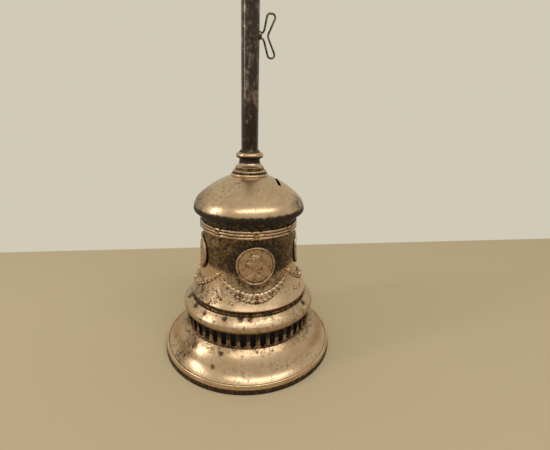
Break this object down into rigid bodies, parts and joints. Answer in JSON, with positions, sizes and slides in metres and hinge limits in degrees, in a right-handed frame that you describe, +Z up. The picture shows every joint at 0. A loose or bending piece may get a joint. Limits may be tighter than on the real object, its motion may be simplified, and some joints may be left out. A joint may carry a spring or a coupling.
{
  "type": "hanging gas lamp body",
  "caption": "Bell-shaped body of a hanging gas lamp with vented shoulder, flared skirt, portrait roundels, swags, domed top and a stem with a wire tap key.",
  "frame": {"origin": "centre of the foot rim's lower face", "axes": "+Z up the stem, the front medallion faces -Y, the tap key points to +X"},
  "size_m": [0.15, 0.15, 0.334],
  "materials": {
    "silvered": "worn silver plate over brass, patinated",
    "dark_brass": "dark mottled patina",
    "plain_brass": "dull brass",
    "blackened": "matt black",
    "steel": "dull",
    "fireclay": "matt fired clay"
  },
  "bodies": {
    "lamp": {"foot_band": "silvered", "foot_skirt": "silvered", "vent_ring": "silvered", "shoulder_ring": "silvered", "bell_body": "silvered", "light_baffle": "blackened", "reeded_band": "silvered", "reed_ties": "silvered", "medallion_front": "silvered", "medallion_right": "silvered", "medallion_back": "silvered", "medallion_left": "silvered", "garland_front": "silvered", "garland_right": "silvered", "garland_back": "silvered", "garland_left": "silvered", "garland_knobs": "silvered", "berry_sprigs": "silvered", "dome_cap": "silvered", "stem_collar": "dark_brass", "stem_casing": "dark_brass", "dome_nut": "plain_brass", "gas_pipe_lower": "plain_brass", "regulator_body": "plain_brass", "gas_pipe_middle": "plain_brass", "tap_body": "plain_brass", "gas_pipe_upper": "plain_brass", "top_coupling": "dark_brass", "threaded_nipple": "plain_brass", "gas_nozzle": "plain_brass", "mixer_body": "plain_brass", "burner_carrier": "blackened", "carrier_screws": "steel", "mixing_tube": "plain_brass", "heat_deflector": "blackened", "burner_cup": "plain_brass", "ceramic_tip": "fireclay"},
    "tap": {"tap_plug": "plain_brass", "tap_key": "plain_brass", "tap_washer": "plain_brass"},
    "regulator": {"regulator_screw": "plain_brass"},
    "shutter": {"air_shutter": "plain_brass"}
  },
  "joints": [
    {"name": "tap_turn", "type": "hinge", "parent": "lamp", "child": "tap", "pos_m": [0, 0, 0.255], "axis": [1, 0, 0], "range_deg": [0, 90]},
    {"name": "regulator_turn", "type": "hinge", "parent": "lamp", "child": "regulator", "pos_m": [0, 0, 0.198], "axis": [0, -1, 0], "range_deg": [-180, 180]},
    {"name": "shutter_turn", "type": "hinge", "parent": "lamp", "child": "shutter", "pos_m": [0, 0, 0.128], "axis": [0, 0, 1], "range_deg": [0, 35]}
  ]
}
